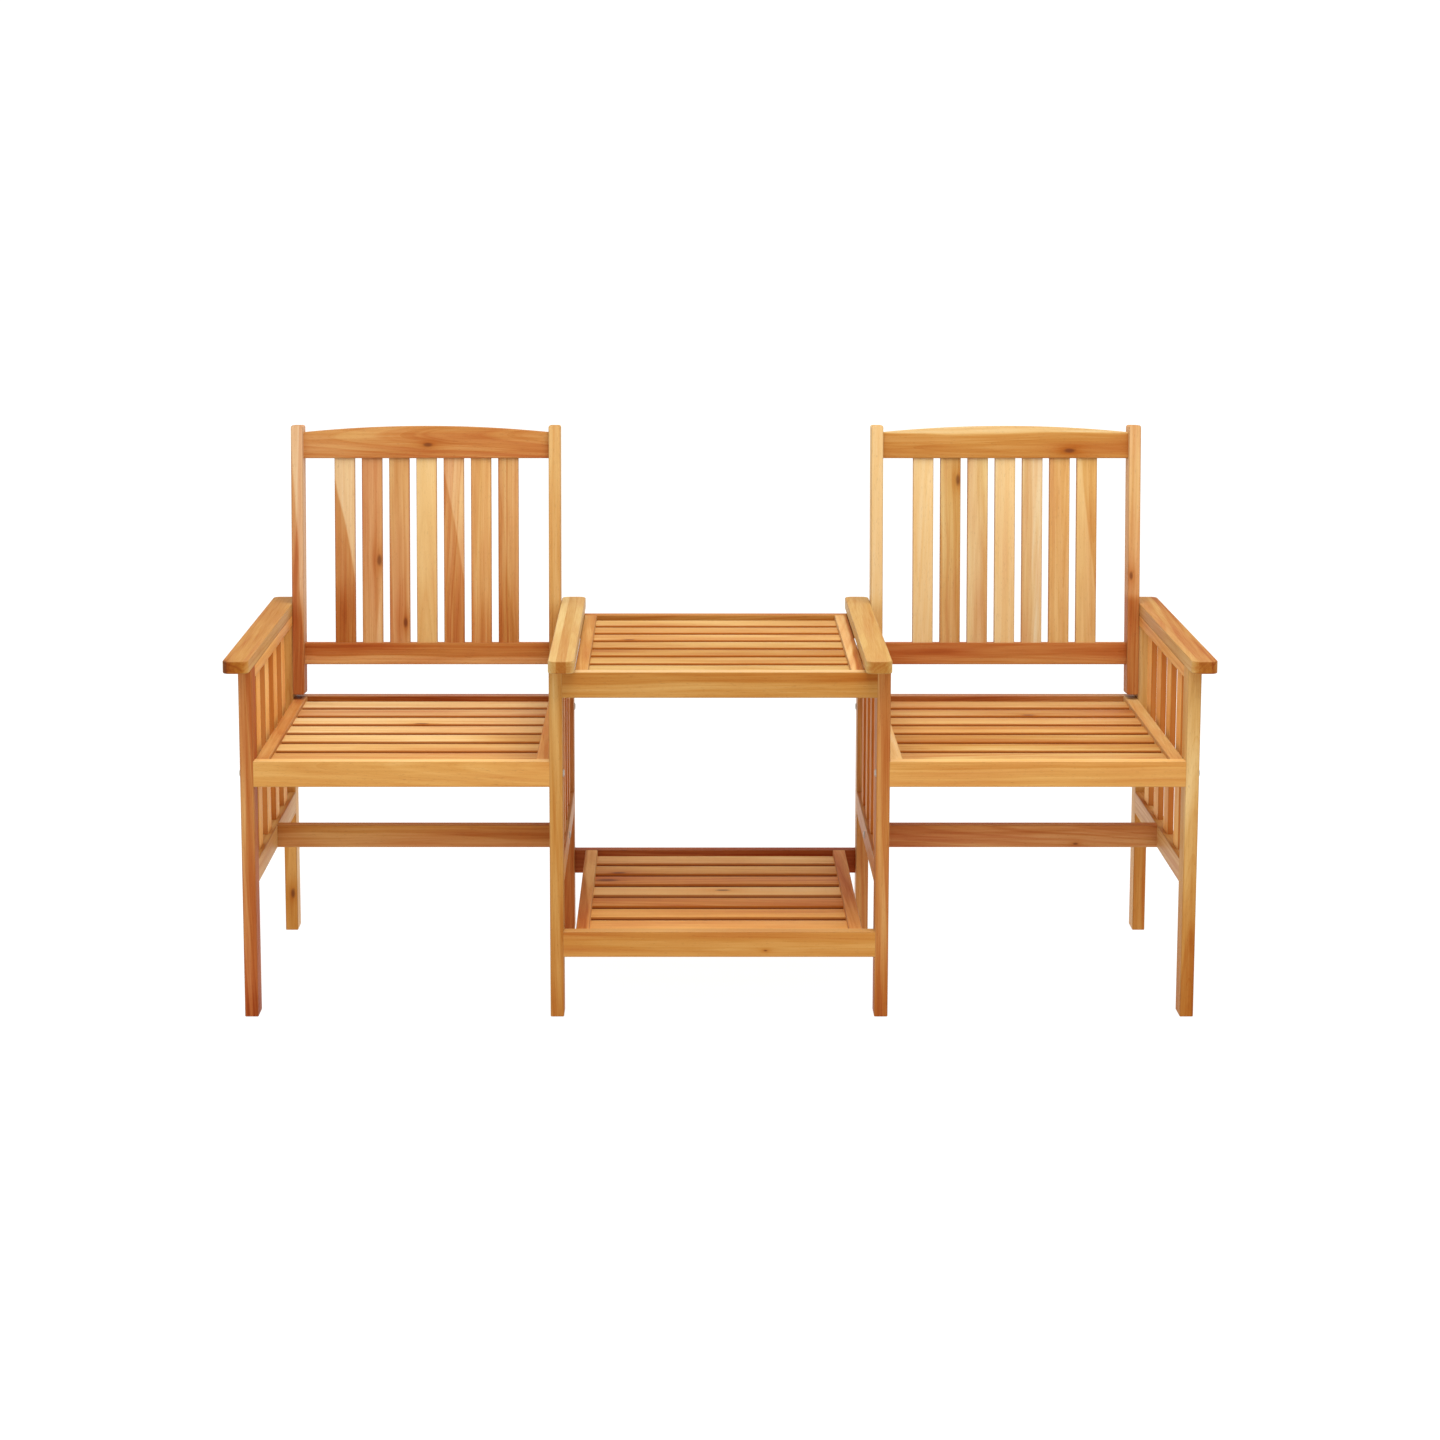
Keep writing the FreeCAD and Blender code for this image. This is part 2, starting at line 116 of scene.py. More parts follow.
def board(spans, axes, run, look, corner=ease, outline=None, lean=None, across=None, gap_shade=None, pale=(2, 0)):
    """One board: its surface, and what the finish reads at each point. Its grain runs along axis `run`, and
    its look is drawn on the face that runs along axis `across`, or else on its widest face. Its eased edges
    are darkest where they face 45 degrees away. gap_shade is an axis, whose faces look into the gaps between
    boards, their share of painted shade, and how deep their two rims lie, from 0 to 1, for a painted shadow
    that darkens further into the gaps. pale is an axis, and how much painted light lightens its faces.
    An odd order of the three axes gives a mirrored surface."""
    wide, high, thick = (spans[axis] for axis in axes)
    outline = outline or round_outline(wide, high, corner)
    points, facing = eased_surface(outline, corner, thick, axes)
    # The way across the drawn face, then the way into the board
    others = sorted({0, 1, 2} - {run}, key=lambda axis: (axis != across, spans[axis][0] - spans[axis][1]))
    middle = np.array([sum(span) / 2 for span in spans])
    mirrored = axes in ((0, 2, 1), (2, 1, 0), (1, 0, 2))
    faces = grid_faces(*points.shape[:2], mirrored)
    points, facing = points.reshape(-1, 3), facing.reshape(-1, 3)
    read = {name: np.tile(np.array(value, float), (len(points), 1)) for name, value in look.items()}
    read["grain"] = (points - middle)[:, [run] + others]
    level = facing[:, axes[2]] ** 2
    read["figure"][:, 1] = 4 * level * (1 - level)
    # Three shares: end grain less painted light, painted shade in the gaps, and how deep in the gaps it lies
    read["faces"] = np.zeros_like(points)
    read["faces"][:, 0] = facing[:, run] ** 2 - pale[1] * facing[:, pale[0]] ** 2
    if gap_shade:
        axis, brown, first_rim, last_rim = gap_shade
        read["faces"][:, 1] = brown * facing[:, axis] ** 2
        read["faces"][:, 2] = np.interp(points[:, axes[2]], thick, (last_rim, first_rim))
    if lean:
        points, facing = lean(points, True), lean(facing, False)
    return points, facing, faces, read


def join_boards(name, boards, finish, node):
    """Boards joined into one piece that stands for a CAD node, with their exact normals. Each board's faces
    count on from the points of the boards before it."""
    points, facing, faces, read = zip(*boards)
    starts = np.cumsum([0] + [len(places) for places in points]).tolist()
    joined = [[start + corner for corner in face] for start, group in zip(starts, faces) for face in group]
    mesh = bpy.data.meshes.new(name)
    mesh.from_pydata(np.concatenate(points).tolist(), [], joined)
    for key in read[0]:
        values = np.concatenate([carried[key] for carried in read])
        mesh.attributes.new(key, "FLOAT_VECTOR", "POINT").data.foreach_set("vector", values.ravel())
    mesh.polygons.foreach_set("use_smooth", np.ones(len(joined), bool))
    mesh.normals_split_custom_set_from_vertices(np.concatenate(facing).tolist())
    mesh.materials.append(finish)
    piece = bpy.data.objects.new(name, mesh)
    bpy.context.collection.objects.link(piece)
    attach(piece, "root")
    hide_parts(node)


class Shade:
    """A value worked out over a surface. Python's operators on it add Math nodes to its finish."""

    def __init__(self, finish, socket):
        self.finish, self.socket = finish, socket

    def math(self, operation, *values):
        return self.finish.node("ShaderNodeMath", {"operation": operation}, dict(enumerate(values)))

    def __add__(self, other):
        return self.math("ADD", self, other)

    def __radd__(self, other):
        return self.math("ADD", other, self)

    def __sub__(self, other):
        return self.math("SUBTRACT", self, other)

    def __rsub__(self, other):
        return self.math("SUBTRACT", other, self)

    def __mul__(self, other):
        return self.math("MULTIPLY", self, other)

    def __rmul__(self, other):
        return self.math("MULTIPLY", other, self)

    def __truediv__(self, other):
        return self.math("DIVIDE", self, other)

    def __rtruediv__(self, other):
        return self.math("DIVIDE", other, self)

    def __pow__(self, other):
        return self.math("POWER", self, other)

    def step(self, low, high):
        """0 below low and 1 above high, with a smooth rise between; low may be the higher one."""
        return self.finish.node("ShaderNodeMapRange", {"interpolation_type": "SMOOTHSTEP"},
                                {"Value": self, "From Min": low, "From Max": high})


class NodeTree:
    """A node tree that values are worked out in."""

    def __init__(self, owner):
        owner.use_nodes = True
        self.tree = owner.node_tree

    def node(self, kind, settings, values, output=0):
        """Any node: its settings are set first, then its sockets are given numbers, colours or links."""
        node = self.tree.nodes.new(kind)
        for name, value in settings.items():
            if name == "stops":
                while len(node.color_ramp.elements) < len(value):
                    node.color_ramp.elements.new(1.0)
                for element, (position, colour) in zip(node.color_ramp.elements, value):
                    element.position, element.color = position, colour
            else:
                setattr(node, name, value)
        self.fill(node, values)
        return Shade(self, node.outputs[output])

    def fill(self, node, values):
        for name, value in values.items():
            if isinstance(value, Shade):
                self.tree.links.new(value.socket, node.inputs[name])
            else:
                node.inputs[name].default_value = value

    def read(self, name):
        """The three numbers that a piece's points carry under this name."""
        vector = self.node("ShaderNodeAttribute", {"attribute_name": name}, {}, "Vector")
        return [self.node("ShaderNodeSeparateXYZ", {}, {0: vector}, axis) for axis in range(3)]

    def join(self, x, y, z):
        return self.node("ShaderNodeCombineXYZ", {}, {0: x, 1: y, 2: z})

    def noise(self, x, y, z, detail=2.0, rough=0.5):
        return self.node("ShaderNodeTexNoise", {"noise_dimensions": "3D"},
                         {"Vector": self.join(x, y, z), "Scale": 1.0, "Detail": detail, "Roughness": rough})

    def mix(self, share, first, second, blend="MIX"):
        return self.node("ShaderNodeMix", {"data_type": "RGBA", "blend_type": blend},
                         {0: share, 6: first, 7: second}, 2)


class Finish(NodeTree):
    """A material made of nodes, with a Principled shader at its end."""

    def __init__(self, name):
        self.material = bpy.data.materials.new(name)
        super().__init__(self.material)
        self.shader = next(node for node in self.tree.nodes if node.type == "BSDF_PRINCIPLED")


def stain(red, green, blue, light=1.0, sheen=0.0):
    """A colour as the eye names it, 0 to 255, as the share of the light that its surface gives back, and 1
    for its opacity. light makes up for the studio's strength, and sheen is the white that its gloss adds."""
    linear = (((value / 255 + 0.055) / 1.055) ** 2.4 for value in (red, green, blue))
    return (*(max(light * (value - sheen), 0.001) for value in linear), 1.0)


# The wood's colours from pale sapwood to dark heartwood, in a golden row and in a rosy one
oil = {"light": 0.80, "sheen": 0.010}
golden = [(0.00, stain(243, 218, 172, **oil)), (0.18, stain(236, 196, 132, **oil)),
          (0.36, stain(219, 168, 98, **oil)), (0.52, stain(200, 139, 68, **oil)),
          (0.68, stain(180, 107, 40, **oil)), (0.84, stain(152, 72, 16, **oil)),
          (1.00, stain(118, 44, 5, **oil))]
rosy = [(0.00, stain(244, 214, 184, **oil)), (0.18, stain(239, 190, 148, **oil)),
        (0.36, stain(224, 160, 112, **oil)), (0.52, stain(206, 130, 80, **oil)),
        (0.68, stain(184, 98, 52, **oil)), (0.84, stain(154, 66, 24, **oil)),
        (1.00, stain(120, 40, 8, **oil))]


def oiled_acacia():
    """Solid wood, worked out through each board from its own grain. The tree's rings are cones about a pith
    line that lies beside the board, bent by slow waves and by knots, and fibres and pores follow them."""
    finish = Finish("oiled_acacia")
    x, y, z = finish.read("grain")
    tone, red, painted_warmth = finish.read("tone")
    figure, edge, _ = finish.read("figure")
    # end is the end grain's share, less the painted light that lightens the pale faces
    end, gap_shade_share, deep = finish.read("faces")
    fade_from, fade_to, fade_depth = finish.read("fade")
    heart_edge, heart_slope, heart_depth = finish.read("heart")
    knot_x, knot_y, knot_size = finish.read("knot")
    glue_half, glue_low, glue_high = finish.read("glue")
    place_x, place_y, place_z = finish.read("place")
    pith_y, pith_z, taper = finish.read("pith")

    # Edge-glued strips: each has its own tone, and grain from another part of the tree
    seam = 0.0002
    low_strip = (y + glue_half).step(seam, -seam)
    high_strip = (y - glue_half).step(-seam, seam)
    place_y = place_y + low_strip * 7.3 + high_strip * 13.1
    tone = tone + low_strip * glue_low + high_strip * glue_high
    pith_y = pith_y + low_strip * 0.045 - high_strip * 0.06

    # Slow waves and small ripples. In every noise the numbers beside x, y and z are its waves per metre, few
    # along the grain and many across it
    wave = finish.noise(x * 2.6 + place_x, y * 11 + place_y, z * 11 + place_z) - 0.5
    ripple = finish.noise(x * 11 + place_y, y * 45 + place_z, z * 45 + place_x) - 0.5

    # A knot pushes the rings aside; away is the distance from it, counted shorter along the grain
    side = y - knot_y
    away = (((x - knot_x) * 0.42) ** 2.0 + side * side) ** 0.5
    near = 1.0 / (1.0 + (away / (knot_size * 1.9)) ** 2.0)
    bent = y - side * near * 0.75

    # The rings, and the dark late wood in which each of them ends
    ring_wide = 0.0062
    across = bent + wave * 0.016 + ripple * 0.0022 + pith_y
    through = z + pith_z
    radius = (across * across + through * through) ** 0.5 - taper * x
    bands = finish.node("ShaderNodeTexNoise", {"noise_dimensions": "1D"},
                        {"W": radius * 170 + place_z, "Scale": 1.0, "Detail": 4.0, "Roughness": 0.62})
    rings = radius / ring_wide + bands * 1.6 + place_x
    late = rings.math("FRACT", rings) ** 5.0

    # Fibres, streaks and pores run along the grain, and patches and heartwood lie over it
    fibre = finish.noise(x * 16 + place_x, bent * 620 + place_y, z * 620, 2.0, 0.6)
    streak = finish.noise(x * 5 + place_z, bent * 150 + place_x, z * 150, 2.0, 0.55)
    pore = finish.noise(x * 110, bent * 1500 + place_z, z * 1500 + place_y, 1.0).step(0.66, 0.74)
    patch = finish.noise(x * 3.2 + place_y, y * 20 + place_z, z * 20 + place_x, 2.0) - 0.5
    heart = (bent + heart_slope * x + wave * 0.03 - heart_edge).step(-0.0022, 0.0022)

    # The shade picks a colour from both rows, and the warmth says how much of the rosy one is taken
    shade = (tone + ((bands - 0.5) * 0.34 + late * 0.06 + patch * 0.40 + (streak - 0.5) * 0.26) * figure
             + (fibre - 0.5) * 0.14 + heart * heart_depth + x.step(fade_from, fade_to) * fade_depth
             + end * 0.16 + near * 0.22)
    warm = red + patch * 0.9 + (bands - 0.5) * 0.5
    colour = finish.mix(warm.step(0.0, 1.0), finish.node("ShaderNodeValToRGB", {"stops": golden}, {0: shade}),
                        finish.node("ShaderNodeValToRGB", {"stops": rosy}, {0: shade}))
    # Painted light: boards in shade are warmed as by light bounced from the wood around, boards under top
    # light are made tanner
    painted_bounce_glow, painted_top_light_tan = (1.25, 1.0, 0.62, 1.0), (0.90, 1.0, 1.05, 1.0)
    colour = finish.mix(painted_warmth.step(0.0, 1.0), colour, painted_bounce_glow, "MULTIPLY")
    colour = finish.mix(painted_warmth.step(0.0, -1.0), colour, painted_top_light_tan, "MULTIPLY")

    # Browns over it: the pores, a knot's core, the eased edges, and painted shade on the faces in the gaps
    pore_brown, core_brown, edge_brown = stain(96, 48, 20), stain(84, 42, 22), stain(140, 98, 58)
    gap_shade_brown, gap_shadow_brown = stain(178, 92, 22), stain(96, 38, 4)
    core = (away / knot_size).step(1.4, 0.5)
    narrow = gap_shade_share.step(0.2, 0.7)
    colour = finish.mix(pore * 0.34, colour, pore_brown)
    colour = finish.mix(core * 0.6, colour, core_brown)
    colour = finish.mix(edge * 0.5, colour, edge_brown)
    colour = finish.mix(narrow * 0.8, colour, gap_shade_brown)
    # Painted shadow, darker deeper in the gaps
    colour = finish.mix(narrow * deep.step(0.10, 0.42) * 0.9, colour, gap_shadow_brown)

    relief = fibre * 0.5 + bands * 0.3 - pore * 0.6
    bump = finish.node("ShaderNodeBump", {}, {"Strength": 0.35, "Distance": 0.0004, "Height": relief})
    gloss = 0.58 + (fibre - 0.5) * 0.16 + (bands - 0.5) * 0.12 + end * 0.12
    finish.fill(finish.shader, {"Base Color": colour, "Roughness": gloss, "Normal": bump,
                                "Specular IOR Level": 0.12})
    return finish.material


acacia = oiled_acacia()


def limits(node, trim=(0, 0, 0)):
    """A CAD node's limits along X, Y and Z, drawn in at both ends by what its joints hide. A trim below zero
    lets them out, so that the round edges of an end sink into the board it meets."""
    low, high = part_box(node)
    return [(low[axis] + trim[axis], high[axis] - trim[axis]) for axis in range(3)]


leg_looks = {
    "outer_left_front": wood(0.52, 0.60, heart=(0.001, 0.0, 0.12), fade=(-0.22, -0.287, 0.14)),
    "outer_left_rear": wood(0.43, 0.1, knot=(-0.220, 0.003, 0.0035), fade=(-0.16, -0.23, 0.10), painted_warmth=0.4),
    "inner_left_front": wood(0.44, 0.0, heart=(0.006, 0.0, 0.07), fade=(-0.20, -0.287, 0.10)),
    "inner_left_rear": wood(0.56, 0.6, fade=(0.0, -0.15, 0.12)),
    "inner_right_front": wood(0.54, 0.45, heart=(0.004, 0.02, 0.06), fade=(-0.15, -0.287, 0.16)),
    "inner_right_rear": wood(0.50, 0.5),
    "outer_right_front": wood(0.31, 0.05, heart=(0.003, 0.01, 0.08), fade=(0.08, -0.287, 0.28)),
    # The fade lightens this leg's upper part, painted light above the seat
    "outer_right_rear": wood(0.56, 0.2, fade=(0.02, 0.19, -0.20), painted_warmth=0.3)}
for name, look in leg_looks.items():
    x_span, y_span, (floor_z, top_z) = limits(name + "_leg")
    leg_spans = [x_span, y_span, (floor_z, top_z - leg_tenon + ease)]
    surface = board(leg_spans, (1, 2, 0), 2, look, across=0,
                    pale=(0, rear_leg_painted_light if name.endswith("rear") else 0.0))
    join_boards(name + "_leg_wood", [surface], acacia, name + "_leg")


# Side rails and side slats
# A thin rail under the armrest and a taller one at stretcher height join the two legs, and four upright slats
# fill the frame between them. All are acacia, tenoned and glued, with square shoulders.

tenon = 0.010
side_painted_light = 0.8           # painted light on the faces that look sideways
side_slat_count = 4
side_slat_wide = 0.045
# Painted shade on the side slats' faces in the gaps between them
side_slat_gap_shade = (1, 0.8, 0.16, 0.16)
rail_looks = {
    "outer_left": (wood(0.44, 0.2, painted_warmth=0.6), wood(0.46, 0.3)),
    "inner_left": (wood(0.52, 0.5), wood(0.54, 0.5)),
    "inner_right": (wood(0.50, 0.4), wood(0.52, 0.5)),
    "outer_right": (wood(0.42, 0.2, painted_warmth=0.6), wood(0.46, 0.3))}
# The outer frames' slats are given paler tones, painted light for inner faces that the studio leaves in shade
slat_tones = {
    "outer_left": (0.21, 0.15, 0.23, 0.17), "inner_left": (0.46, 0.40, 0.50, 0.42),
    "inner_right": (0.44, 0.48, 0.38, 0.46), "outer_right": (0.17, 0.23, 0.19, 0.15)}


def spaced(span, width, count):
    """Limits of equal boards set evenly along a span, the first and last flush with its ends."""
    starts = np.linspace(span[0], span[1] - width, count)
    return [(start, start + width) for start in starts]


for name, (upper_look, lower_look) in rail_looks.items():
    for part, look in (("_upper_rail", upper_look), ("_lower_rail", lower_look)):
        rail_spans = limits(name + part, (0, tenon - ease, 0))
        surface = board(rail_spans, (1, 2, 0), 1, look, pale=(0, side_painted_light))
        join_boards(name + part + "_wood", [surface], acacia, name + part)
    x_span, y_span, z_span = limits(name + "_side_slats", (0, 0, tenon - ease))
    looks = [wood(tone, 0.2, painted_warmth=0.9) for tone in slat_tones[name]]
    boards = [board([x_span, slat_y, z_span], (1, 2, 0), 2, look, gap_shade=side_slat_gap_shade)
              for slat_y, look in zip(spaced(y_span, side_slat_wide, side_slat_count), looks)]
    join_boards(name + "_side_slats_wood", boards, acacia, name + "_side_slats")


# Armrests
# Flat acacia boards, 42 by 20 mm, glued up from three strips and laid over both legs, whose tenons they take.
# Their four corners are rounded in plan and their rims eased.

arm_corner = 0.012
arm_looks = {
    "outer_left": wood(0.54, 0.1, knot=(-0.317, -0.018, 0.0045), glue=(0.012, 0.01, -0.06), figure=0.8,
                       painted_warmth=-0.5),
    "inner_left": wood(0.46, 0.2, glue=(0.008, -0.15, -0.08), figure=0.7, painted_warmth=-1.0),
    "inner_right": wood(0.42, 0.1, glue=(0.009, -0.03, 0.01), figure=0.7, painted_warmth=-0.8),
    "outer_right": wood(0.56, 0.3, glue=(0.010, -0.08, 0.06), figure=0.8, painted_warmth=-0.6)}
for name, look in arm_looks.items():
    surface = board(limits(name + "_armrest"), (0, 1, 2), 1, look, arm_corner, pale=(0, side_painted_light))
    join_boards(name + "_armrest_wood", [surface], acacia, name + "_armrest")


# Seat, table and shelf frames, and stretchers
# Two long rails, 42 by 22 mm, run between the legs, with two side members tenoned between them. A stretcher
# ties the lower side rails under each seat. Bolts draw the rails' and stretchers' ends to the side frames.

# The seats' rear rails have dark tones, partly painted shade under the backrests
frame_looks = {
    "left_seat": {"front_rail": wood(0.39, 0.05, figure=0.7, painted_warmth=0.4), "rear_rail": wood(0.76, 0.6),
                  "left_member": wood(0.51, 0.4), "right_member": wood(0.43, 0.4, painted_warmth=0.4)},
    "right_seat": {"front_rail": wood(0.38, 0.1, heart=(0.008, 0.0, 0.05), figure=0.7, painted_warmth=0.4),
                   "rear_rail": wood(0.64, 0.6), "left_member": wood(0.20, 0.2, painted_warmth=0.3),
                   "right_member": wood(0.33, 0.2)},
    "table": {"front_rail": wood(0.52, 0.05, heart=(0.005, 0.004, 0.08), figure=0.7),
              "rear_rail": wood(0.58, 0.2), "left_member": wood(0.49, 0.0),
              # The right member's darker half toward the armrest is a painted shadow of the armrest
              "right_member": wood(0.32, 0.3, heart=(0.001, 0.0, 0.34))},
    "shelf": {"front_rail": wood(0.49, 0.1, knot=(0.075, -0.010, 0.0012), figure=0.8, painted_warmth=0.3),
              "rear_rail": wood(0.72, 0.9),
              "left_member": wood(0.63, 0.3, heart=(0.0, 0.01, -0.24), painted_warmth=0.6),
              "right_member": wood(0.43, 0.4, painted_warmth=0.6)}}
# Painted light on the rails' faces that look up and down
rail_painted_light = {"left_seat_front_rail": 1.2, "right_seat_front_rail": 1.2, "table_front_rail": 1.9,
            "shelf_front_rail": 0.6, "left_seat_rear_rail": 1.5, "right_seat_rear_rail": 1.2}
for name, looks in frame_looks.items():
    for part, look in looks.items():
        node = name + "_" + part
        if part.endswith("rail"):
            rail_spans = limits(node, (-ease, 0, 0))
            surface = board(rail_spans, (0, 2, 1), 0, look, pale=(2, rail_painted_light.get(node, 0.0)))
        else:
            surface = board(limits(node, (0, tenon - ease, 0)), (1, 2, 0), 1, look, across=0)
        join_boards(node + "_wood", [surface], acacia, node)
for name, look in (("left", wood(0.47, 0.45, heart=(0.002, 0.02, 0.12))),
                   ("right", wood(0.48, 0.6, heart=(0.004, -0.01, 0.08), knot=(0.099, -0.013, 0.0018)))):
    node = name + "_stretcher"
    surface = board(limits(node, (-ease, 0, 0)), (0, 2, 1), 0, look)
    join_boards(node + "_wood", [surface], acacia, node)


# Seat, table and shelf slats
# Seven flat slats, 52 by 12 mm, tenoned into the side members and set a little below the rails' top edges,
# with painted shade on their faces in the gaps. Boards from pale sapwood to brown heartwood are mixed as they
# come.

slat_wide = 0.052
# Painted shade on the slats' faces in the gaps, with painted shadow deeper down
flat_slat_gap_shade = (1, 1.0, 0.0, 1.0)
flat_slat_looks = {
    "left_seat": [wood(0.45, 0.4), wood(0.35, 0.2, heart=(0.016, 0.01, 0.10)),
                  wood(0.24, 0.1, fade=(0.06, 0.18, 0.20)), wood(0.22, 0.2),
                  wood(0.22, 0.2, knot=(0.005, -0.024, 0.005)), wood(0.41, 0.5, painted_warmth=-0.5), wood(0.21, 0.2)],
    "right_seat": [wood(0.40, 0.3, painted_warmth=-0.6), wood(0.42, 0.1, heart=(0.010, 0.03, 0.08), painted_warmth=-0.6),
                   wood(0.56, 0.3, fade=(0.0, 0.2, -0.08), painted_warmth=-0.6),
                   wood(0.42, 0.2, heart=(0.0, 0.02, 0.06)), wood(0.39, 0.3, painted_warmth=-0.4),
                   wood(0.48, 0.4, heart=(0.008, 0.03, 0.08), knot=(0.03, -0.022, 0.005), painted_warmth=-0.6),
                   wood(0.43, 0.3, painted_warmth=-0.3)],
    "table": [wood(0.41, 0.0, painted_warmth=-0.8), wood(0.47, 0.0, painted_warmth=-0.5), wood(0.56, 0.1, painted_warmth=-0.6),
              wood(0.44, 0.1, painted_warmth=-0.6), wood(0.40, 0.1, knot=(-0.15, -0.023, 0.004)), wood(0.49, 0.2),
              wood(0.38, 0.1, painted_warmth=-0.3)],
    # The shelf's slats have pale tones, painted light standing in for the light that the table keeps off them
    "shelf": [wood(0.28, 0.2, painted_warmth=0.7), wood(0.20, 0.1, heart=(-0.010, -0.06, 0.08), painted_warmth=0.8),
              wood(0.42, 0.3, painted_warmth=0.8), wood(0.02, 0.1, knot=(0.01, 0.004, 0.005), painted_warmth=0.8),
              wood(0.33, 0.4, knot=(-0.19, 0.0, 0.008), painted_warmth=0.8),
              wood(0.29, 0.2, knot=(-0.17, -0.020, 0.005), painted_warmth=0.6), wood(0.21, 0.3, painted_warmth=0.5)]}
for name, looks in flat_slat_looks.items():
    node = name + "_slats"
    x_span, y_span, z_span = limits(node, (tenon - ease, 0, 0))
    boards = [board([x_span, slat_y, z_span], (0, 1, 2), 0, look, gap_shade=flat_slat_gap_shade)
              for slat_y, look in zip(spaced(y_span, slat_wide, len(looks)), looks)]
    join_boards(node + "_wood", boards, acacia, node)


# Backrests
# Two posts, an arched top rail, a straight lower rail and seven upright slats are tenoned up flat, and the
# panel is screwed to the rear legs, leaning back 5 degrees. The posts' ends are rounded at their corners.

lean_angle = math.radians(5)
post_deep = 0.042
post_corner = 0.004
back_rail_thick = 0.020
back_slat_wide = 0.036
back_slat_thick = 0.012
# Painted shade on the back slats' sides, which face each other across the gaps
back_slat_side_shade = (0, 0.5, 0.0, 0.0)
top_rail_crown = 0.057      # height of the top rail in its middle
top_rail_end = 0.046        # and at its ends
low_rail_high = 0.0385
low_rail_up = 0.053         # above the posts' feet
crown_drop = 0.0015         # below the posts' tops
post_high = 0.477
arch_steps = 40
# The fades that darken the posts and most slats towards their feet are painted shade from the armrests and
# frames
back_looks = {
    "left": {"left_post": wood(0.50, 0.8, heart=(0.001, 0.05, -0.22), fade=(-0.04, -0.12, 0.20), painted_warmth=-0.6),
             "right_post": wood(0.29, 0.1, fade=(-0.06, -0.10, 0.10)),
             "top_rail": wood(0.56, 0.55, knot=(0.003, -0.0047, 0.0035), fade=(-0.04, -0.20, -0.06)),
             "lower_rail": wood(0.41, 0.5, heart=(-0.003, 0.015, 0.20)),
             "slats": [wood(0.47, 0.5, heart=(0.0067, 0.201, -0.28), fade=(-0.03, -0.12, 0.16), painted_warmth=-0.6),
                       wood(0.40, 0.6, heart=(0.020, -0.06, -0.10), knot=(-0.017, 0.0125, 0.004),
                            painted_warmth=-0.5),
                       wood(0.41, 0.6, knot=(-0.128, 0.010, 0.0035), fade=(-0.02, 0.16, 0.05), painted_warmth=-0.5),
                       wood(0.20, 0.05, fade=(0.0, -0.16, 0.06), figure=0.6),
                       wood(0.45, 0.5, heart=(0.0096, 0.214, -0.18), fade=(0.0, -0.14, 0.10), painted_warmth=-0.3),
                       wood(0.38, 0.4, fade=(-0.05, -0.16, 0.10)),
                       wood(0.46, 0.5, heart=(0.0, 0.10, -0.06), fade=(-0.02, -0.15, 0.14), painted_warmth=-0.4)]},
    "right": {"left_post": wood(0.13, 0.1, fade=(-0.05, -0.12, 0.20), figure=0.7),
              "right_post": wood(0.34, 0.5, knot=(-0.027, -0.005, 0.003), fade=(-0.055, -0.075, 0.22)),
              "top_rail": wood(0.51, 0.2, heart=(0.0150, 0.01, -0.32), knot=(0.113, -0.015, 0.004)),
              "lower_rail": wood(0.56, 0.6, heart=(-0.008, -0.02, 0.06)),
              "slats": [wood(0.13, 0.1, figure=0.6),
                        wood(0.38, 0.4, heart=(0.006, 0.05, 0.10), knot=(0.125, 0.013, 0.004), painted_warmth=-0.6),
                        wood(0.15, 0.3, heart=(0.002, 0.04, 0.12), painted_warmth=-0.6),
                        wood(0.13, 0.1, figure=0.6),
                        wood(0.25, 0.4, heart=(-0.002, 0.0, -0.14), painted_warmth=-0.6), wood(0.34, 0.3),
                        wood(0.25, 0.2, heart=(0.0109, 0.128, 0.16))]}}


def arched_outline(wide, low, end_high, crown_high, corner):
    """The top rail's face: two round lower corners, two round upper ones, and over them one circular arc
    through both ends and the crown. Its radius is the square of half the span plus the square of the rise,
    over twice the rise, and along it the normal turns with the radius."""
    half = (wide[1] - wide[0]) / 2
    centre = sum(wide) / 2
    rise = crown_high - end_high
    circle = (half ** 2 + rise ** 2) / (2 * rise)
    swing = math.asin((half - corner) / (circle - corner))
    arc = np.linspace(np.pi / 2 - swing, np.pi / 2 + swing, arch_steps)
    arc_normals = np.stack([np.cos(arc), np.sin(arc)], axis=1)
    hub = np.array([centre, low + crown_high - circle])
    arc_points = hub + (circle - corner) * arc_normals
    steps = np.linspace(0, 1, arc_steps + 1)
    right, left = arc[0] * steps[:-1], np.pi + (arc[-1] - np.pi) * (1 - steps[1:])
    below = np.concatenate([np.pi + steps * np.pi / 2, 1.5 * np.pi + steps * np.pi / 2])
    feet = [[wide[0] + corner, low + corner], [wide[1] - corner, low + corner]]
    skeleton = np.concatenate([np.tile(arc_points[0], (arc_steps, 1)), arc_points,
                               np.tile(arc_points[-1], (arc_steps, 1)),
                               np.repeat(feet, arc_steps + 1, axis=0)])
    angle = np.concatenate([right, arc, left, below])
    return skeleton, np.stack([np.cos(angle), np.sin(angle)], axis=1)


